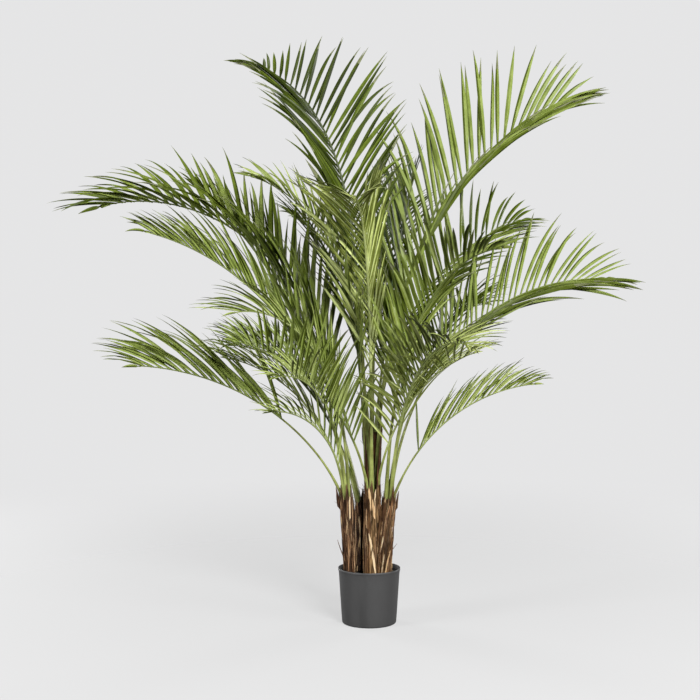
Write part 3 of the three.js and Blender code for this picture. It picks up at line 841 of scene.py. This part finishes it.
rib = {
    "width": 7.5, "widthPerLength": 0.0038, "tipShare": 0.34, "steps": 72, "sides": 10, "flare": 0.35,
    "flareTo": 0.16, "depth": 0.82, "channel": 0.45, "channelPower": 4, "channelFade": (0.3, 0.9),
    "sunk": 10, "pastEnd": 0.02,
}
leaflet = {
    "spacing": 28, "stagger": 0.3, "lastPair": 0.985,
    "length": 150, "lengthPerFrond": 0.13, "baseLength": 0.95, "fullFrom": 0.25, "shorterFrom": 0.55,
    "shorterPower": 1.3, "endShare": 0.08,
    "baseSpread": 0.68, "openFrom": 0.4, "closingPower": 1.2, "sweepFrom": 0.2, "archTo": 0.42,
    "width": 7, "widthPerFrond": 0.0075, "finePower": 0.9, "tipWidth": 0.85, "tipWidthFrom": 0.85,
    "rootShare": 0.5, "fullFromShare": 0.28, "taperFrom": 0.5, "taperPower": 1.7, "point": 0.03,
    "thick": 0.7, "thickShare": 0.4, "fold": (36, 24),
    "stations": 13, "stationPower": 0.9, "brownSteps": (1, 1, 2, 2, 3),
}
unevenness = {
    "spread": 10, "lift": 16, "length": 0.2, "width": (0.86, 1.08), "sweep": 0.15, "arc": (0.05, 0.6),
    "sideBend": 0.12, "twist": 26, "otherTint": 0.34, "shadedHalf": 0.7,
}
ownSeed = {"spread": 0, "lift": 50, "length": 90}  # keeps the three from going up and down together

leafTints = {
    "olive": [(0.200, 0.230, 0.064), (0.265, 0.300, 0.100), (0.330, 0.372, 0.150)],
    "fresh": [(0.145, 0.178, 0.040), (0.200, 0.238, 0.068), (0.262, 0.305, 0.105)],
    "mid": [(0.078, 0.103, 0.014), (0.106, 0.137, 0.025), (0.148, 0.182, 0.048)],
    "deep": [(0.040, 0.058, 0.004), (0.057, 0.080, 0.006), (0.080, 0.106, 0.012)],
    # shadowed: a darker green, painted shade for the top frond, which stands in shade
    "dark": [(0.018, 0.027, 0.002), (0.027, 0.039, 0.003), (0.040, 0.055, 0.006)],
    "blue": [(0.034, 0.060, 0.018), (0.046, 0.076, 0.025), (0.062, 0.096, 0.034)],
}


def leafFinish(name, colours, roughness=(0.34, 0.46)):
    return finish(name, colours, (22, 22, 22), roughness, bump=0.00008, bumpStretch=(260, 260, 120),
                  detail=3.0, specular=0.09)


leafKinds = {  # what each tint is multiplied by, the haze added to it, and the roughness
    # the tops are painted darker, as painted shade against the light that falls on them, and the undersides
    # lighter, as painted light where they sit in shade
    "Leaf": ((0.84, 0.84, 0.84), 0.003, (0.34, 0.46)),
    "Underside": ((1.04, 1.04, 1.04), 0.003, (0.42, 0.55)),
    # painted shade: a darker copy of each tint, put on one folded half of most leaflets
    "PaintedShade": ((0.38, 0.40, 0.22), 0, (0.34, 0.46)),  # the half that is folded away from the frond's tip
    "Rib": ((0.7, 0.7, 0.7), 0.012, (0.34, 0.46)),
}
leafFinishes = {
    kind: {
        tint: leafFinish(tint + kind, tinted(colours, factors, haze), roughness)
        for tint, colours in leafTints.items()
    }
    for kind, (factors, haze, roughness) in leafKinds.items()
}
leafSlots = {"Leaf": 0, "Underside": 2, "PaintedShade": 4, "tip": 6}  # of the first tint, the second comes next
leafTip = leafFinish("leafTip", [(0.060, 0.066, 0.030), (0.085, 0.092, 0.045), (0.11, 0.118, 0.062)])
stalkGreen = leafFinish("stalkGreen", [(0.080, 0.086, 0.022), (0.128, 0.146, 0.040), (0.200, 0.224, 0.072)])


class Frond:
    def __init__(self, name, seed):
        self.values, self.seed = {**usualFrond, **fronds[name]}, seed
        self.turn = Matrix.Rotation(math.radians(self.values["bearing"]), 3, "Z")
        trunk = trunks[self.values["trunk"]]
        seat = Vector((*self.values["seat"], 0)) * mm
        self.length = self.values["length"] * mm
        self.spine = [trunk.levels[-1][1] + seat]
        for i in range(rib["steps"]):
            along = self.directions((i + 0.5) / rib["steps"])[0]
            self.spine.append(self.spine[-1] + along * self.length / rib["steps"])

    def directions(self, share):  # along the rib, across the blade, out of its upper side
        v = self.values
        tilt = math.radians(v["lean"] + v["arch"] * max(share, 0) ** v["bow"])
        along = Vector((math.sin(tilt), 0, math.cos(tilt)))
        across = Matrix.Rotation(math.radians(v["roll"]), 3, along) @ Vector((0, 1, 0))
        return [self.turn @ way for way in (along, across, along.cross(across))]

    def at(self, share):
        place = share * (len(self.spine) - 1)
        i = min(int(place), len(self.spine) - 2)
        return self.spine[i].lerp(self.spine[i + 1], place - i)

    def ribHalf(self, share):
        width = (rib["width"] + rib["widthPerLength"] * self.values["length"]) * mm
        flare = 1 + rib["flare"] * (1 - soft(rise(share, 0, rib["flareTo"])))
        return width / 2 * lerp(1, rib["tipShare"], share) * flare


def addRib(frond, pile):
    shares = [i / rib["steps"] for i in range(rib["steps"] + 1)]
    rings = []
    for share in shares:
        along, across, above = frond.directions(share)
        half = frond.ribHalf(share)
        centre = frond.at(share) - (Vector() if share else along * rib["sunk"] * mm)
        ring = []
        for k in range(rib["sides"]):
            turn = 2 * math.pi * (k + 0.5) / rib["sides"]
            height = math.sin(turn) * rib["depth"]
            if height > 0:  # a shallow channel down the upper side
                channel = rib["channel"] * (1 - rise(share, *rib["channelFade"]))
                height *= 1 - channel * math.sin(turn) ** rib["channelPower"]
            ring.append(centre + across * (math.cos(turn) * half) + above * (height * half))
        rings.append(ring)
    last = pile.skin(rings, [1 if share < frond.values["bare"] else 0 for share in shares])
    pile.cone(last, frond.at(1) + frond.directions(1)[0] * frond.length * rib["pastEnd"])


def lengthShare(place, tipLength):
    base = lerp(leaflet["baseLength"], 1, rise(place, 0, leaflet["fullFrom"]))
    return base * lerp(1, tipLength, rise(place, leaflet["shorterFrom"], 1) ** leaflet["shorterPower"])


def uneven(value, seed, index):
    return unevenness[value] * (wobble(seed + ownSeed[value], index) - 0.5)


def leafletAim(frond, place, side, index):  # place runs from 0 at the first pair to 1 at the last
    v, seed = frond.values, frond.seed
    opening = lerp(leaflet["baseSpread"], 1, rise(place, 0, leaflet["openFrom"]))
    full = (v["spread"] + side * v["skew"]) * opening
    column = 0 if side > 0 else 1
    closing = rise(place, v["closingFrom"], 1) ** leaflet["closingPower"]
    spread = lerp(full, v["tipSpread"][column], closing)
    length = v["reach"] * (leaflet["length"] + leaflet["lengthPerFrond"] * v["length"])
    length *= lengthShare(place, v["tipLength"][column])
    return {
        "share": lerp(v["bare"], leaflet["lastPair"], place), "side": side,
        "spread": math.radians(spread + uneven("spread", seed, index)),
        "lift": math.radians(v["lift"] + uneven("lift", seed, index)),
        "length": length * mm * (1 + uneven("length", seed, index)),
    }


def bladeWidth(share):  # narrow foot, even middle, pointed tip
    if share < leaflet["fullFromShare"]:
        return lerp(leaflet["rootShare"], 1, soft(share / leaflet["fullFromShare"]))
    return max(leaflet["point"], 1 - rise(share, leaflet["taperFrom"], 1) ** leaflet["taperPower"])


def addLeaflet(frond, pile, aim, draw):
    v = frond.values
    along, across, above = frond.directions(aim["share"])
    heading = along * math.cos(aim["spread"])
    heading += across * (math.sin(aim["spread"]) * aim["side"] * math.cos(aim["lift"]))
    heading += above * (math.sin(aim["spread"]) * math.sin(aim["lift"]))
    sweep = v["sweep"] + draw.uniform(-1, 1) * unevenness["sweep"]
    arching = draw.uniform(*unevenness["arc"])
    sideBend = above * draw.uniform(-1, 1) * unevenness["sideBend"]
    twist = math.radians(draw.uniform(-1, 1) * unevenness["twist"])
    full = leaflet["width"] + leaflet["widthPerFrond"] * v["length"]
    full *= v["fine"] ** leaflet["finePower"]
    full *= v["broad"]
    full *= lerp(1, leaflet["tipWidth"], rise(aim["share"], leaflet["tipWidthFrom"], 1))
    half = full / 2 * mm * draw.uniform(*unevenness["width"])
    count = leaflet["stations"]
    centre = frond.at(aim["share"])
    before = 0
    stations = []
    for i in range(count + 1):
        share = (i / count) ** leaflet["stationPower"]
        way = heading + along * (sweep * (share - leaflet["sweepFrom"])) + sideBend * share
        way += up * (arching * (leaflet["archTo"] - share) - v["droop"] * share ** 2)
        way.normalize()
        centre = centre + way * aim["length"] * (share - before)
        before = share
        forward = (along - way * along.dot(way)).normalized()
        upper = forward.cross(way) * aim["side"]
        turned = Matrix.Rotation(twist * share, 3, way)
        fold = math.radians(lerp(*leaflet["fold"], share))
        width = half * bladeWidth(share)
        stations.append((centre, turned @ forward, turned @ upper, width, fold,
                         min(leaflet["thick"] * mm / 2, width * leaflet["thickShare"])))
    tint = 1 if draw.random() < unevenness["otherTint"] else 0
    tipFrom = count - draw.choice(leaflet["brownSteps"])
    top, under, shade = (leafSlots[kind] + tint for kind in ("Leaf", "Underside", "PaintedShade"))
    # most leaflets get painted shade on the half that is folded away from the frond's tip
    shaded = draw.random() < unevenness["shadedHalf"]
    halves = [shade, under, top, shade] if shaded else [under, under, top, top]
    pile.blade(stations, [[leafSlots["tip"]] * 4 if i >= tipFrom else halves for i in range(count)])


def makeFrond(name, seed):
    node = f"frond_{name}"
    frond = Frond(name, seed)
    v = frond.values
    draw = random.Random(seed)
    bone = Pile()
    addRib(frond, bone)
    bone.piece(node, "rib", [leafFinishes["Rib"][v["tints"][0]], stalkGreen], "foliage")
    blades = Pile()
    pairs = round((leaflet["lastPair"] - v["bare"]) * v["length"] / (leaflet["spacing"] * v["fine"]))
    for i in range(pairs + 1):
        for j, side in enumerate((1, -1)):
            place = min(1, max(0, (i + leaflet["stagger"] * j) / pairs))
            addLeaflet(frond, blades, leafletAim(frond, place, side, 2 * i + j), draw)
    end = {"share": 1, "side": 1, "spread": 1, "lift": 0, "length": v["length"] * leaflet["endShare"]}
    singles = [end, *strayLeaflets.get(name, [])]
    for aim in singles:
        turned = {"spread": math.radians(aim["spread"]), "lift": math.radians(aim["lift"])}
        addLeaflet(frond, blades, {**aim, **turned, "length": aim["length"] * mm}, draw)
    materials = [leafFinishes[kind][tint] for kind in ("Leaf", "Underside", "PaintedShade") for tint in v["tints"]]
    materials.append(leafTip)
    blades.piece(node, "leaflets", materials, "foliage", crease=15)
    return 2 * (pairs + 1) + len(singles)


def makeCollars(name):  # pointed husk that hugs the foot of each stalk
    trunk, pile = trunks[name], Pile()
    draw = trunk.random
    radius = trunk.middle(trunk.top)[1]
    for row in fronds.values():
        if row["trunk"] != name:
            continue
        seat = Vector(row["seat"])
        bearing = math.degrees(math.atan2(seat.y, seat.x))
        above = draw.uniform(*collar["above"])
        reach = seat.length * mm + above * math.tan(math.radians(row["lean"]))
        reach += rib["width"] * collar["ribShare"] * mm
        addSheath(trunk, pile, bearing + draw.uniform(-collar["aside"], collar["aside"]),
                  trunk.top - collar["below"], trunk.top + above, draw.uniform(*collar["halfAngle"]),
                  max(0, reach - radius), draw.uniform(*collar["pointed"]), draw.choice((0, 1)))
    pile.piece(f"trunk_{name}", "collars", huskFinishes[name], "husk", crease=55)
    if name in innerSheaths:
        inner = Pile()
        for i, (bearing, below, above, halfAngle, flare, pointed) in enumerate(innerSheaths[name]):
            addSheath(trunk, inner, bearing, trunk.top - below * mm, trunk.top + above * mm, halfAngle,
                      flare * mm, pointed * mm, i % 2)
        inner.piece(f"trunk_{name}", "inner_sheaths", huskFinishes["tall"], "husk", crease=55)


leafletCount = sum(makeFrond(name, seed) for seed, name in enumerate(fronds, 1))
for name in trunks:
    makeCollars(name)
print("fronds made,", leafletCount, "leaflets")
